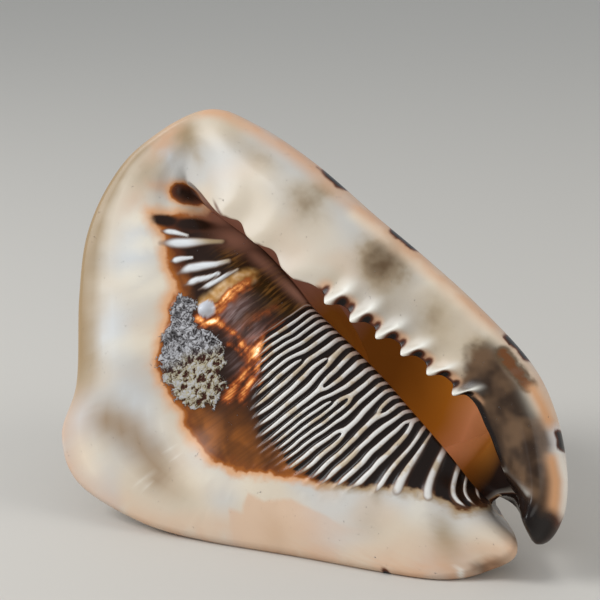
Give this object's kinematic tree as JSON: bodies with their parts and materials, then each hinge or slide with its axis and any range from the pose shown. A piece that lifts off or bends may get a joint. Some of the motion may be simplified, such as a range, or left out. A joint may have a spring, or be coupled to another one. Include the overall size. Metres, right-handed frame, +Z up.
{
  "type": "helmet shell",
  "caption": "Large helmet shell lying on its shield edge and a dorsal horn, with a broad callus shield, a ridged columella and a toothed outer lip round a long mouth.",
  "frame": {"origin": "centre of the bounding box, on the surface that the shell rests on", "axes": "+Z up as the shell rests, -Y towards the side that the mouth faces, +X towards the canal end"},
  "size_m": [0.185, 0.17, 0.1505],
  "materials": {
    "shell": "glossy callus, duller outside"
  },
  "bodies": {
    "root": {"helmet_shell": "shell"}
  },
  "joints": []
}
